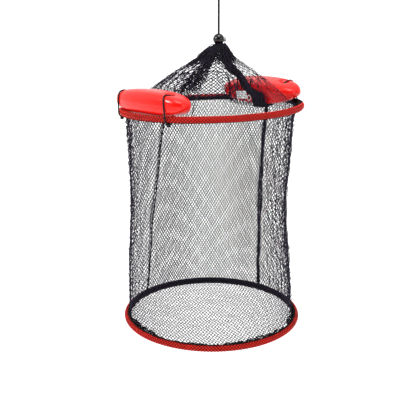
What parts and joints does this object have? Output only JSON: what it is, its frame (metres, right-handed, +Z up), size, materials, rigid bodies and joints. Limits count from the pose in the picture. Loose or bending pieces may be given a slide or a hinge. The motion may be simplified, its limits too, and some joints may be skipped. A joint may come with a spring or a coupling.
{
  "type": "folding crab trap",
  "caption": "Hanging folding crab trap: netting tube between two red braided hoops, drawn netting cone, lashed red floats and a hauling cord with a ball lock.",
  "frame": {"origin": "inside top of the hanging loop at the end of the haul cord, where a hook holds the trap", "axes": "+Z up along the haul cord; -Y towards the front, the side the lower hoop hangs towards; +X to the right seen from the front"},
  "size_m": [0.25, 0.2604, 0.4915],
  "materials": {
    "spring_steel": "drawn wire",
    "ferrule_steel": "crimped tube",
    "hoop_core": "laid filler under the cover",
    "red_braid": "tight braided synthetic cover, slight sheen",
    "black_thread": "twisted thread",
    "black_netting": "thin knotless synthetic yarn",
    "black_cord": "braided cord",
    "float_plastic": "glossy blown plastic",
    "lock_plastic": "glossy moulded plastic",
    "button_plastic": "satin moulded plastic",
    "lock_spring_steel": "wire",
    "label_cloth": "woven ribbon",
    "ring_plastic": "thin moulded loop"
  },
  "bodies": {
    "haul_line": {"haul_cord": "black_cord", "haul_knot": "black_cord", "mouth_drawcord": "black_cord", "noose_knot": "black_cord", "mouth_hem": "black_netting", "cone_net": "black_netting"},
    "top_hoop": {"top_hoop_wire": "spring_steel", "top_hoop_ferrule": "ferrule_steel", "top_hoop_core": "hoop_core", "top_hoop_sleeve": "red_braid", "top_hoop_whipping": "black_thread", "side_net": "black_netting", "seam_left": "black_thread", "seam_right": "black_thread", "label_tag": "label_cloth", "label_ring": "ring_plastic"},
    "bottom_hoop": {"bottom_hoop_wire": "spring_steel", "bottom_hoop_ferrule": "ferrule_steel", "bottom_hoop_core": "hoop_core", "bottom_hoop_sleeve": "red_braid", "bottom_hoop_whipping": "black_thread", "bottom_net": "black_netting"},
    "lock": {"lock_ball": "lock_plastic", "lock_spring": "lock_spring_steel"},
    "lock_button": {"lock_plunger": "button_plastic"},
    "left_float": {"float_front_left": "float_plastic", "lashing_front_left_a": "black_cord", "lashing_front_left_b": "black_cord"},
    "right_float": {"float_back_right": "float_plastic", "lashing_back_right_a": "black_cord", "lashing_back_right_b": "black_cord"}
  },
  "joints": [
    {"name": "side_fold", "type": "slide", "parent": "top_hoop", "child": "bottom_hoop", "axis": [0, 0.0355, 0.9994], "range_m": [0, 0.268], "deforming": ["side_net", "seam_left", "seam_right"]},
    {"name": "cone_fold", "type": "slide", "parent": "haul_line", "child": "top_hoop", "axis": [0, 0, 1], "range_m": [0, 0.05], "deforming": ["cone_net"]},
    {"name": "lock_slide", "type": "slide", "parent": "haul_line", "child": "lock", "axis": [0, 0, 1], "range_m": [0, 0.04]},
    {"name": "button_press", "type": "slide", "parent": "lock", "child": "lock_button", "axis": [-1, 0, 0], "range_m": [0, 0.0024], "stiffness_N_per_m": 350, "springref_m": -0.0012, "deforming": ["lock_spring"]},
    {"name": "left_float_rock", "type": "hinge", "parent": "top_hoop", "child": "left_float", "pos_m": [-0.0972, -0.06906, -0.19391], "axis": [0.6186, -0.7857, 0.0034], "range_deg": [0, 5]},
    {"name": "right_float_rock", "type": "hinge", "parent": "top_hoop", "child": "right_float", "pos_m": [0.07723, 0.07028, -0.1861], "axis": [-0.6295, 0.777, -0.0039], "range_deg": [0, 5]}
  ]
}
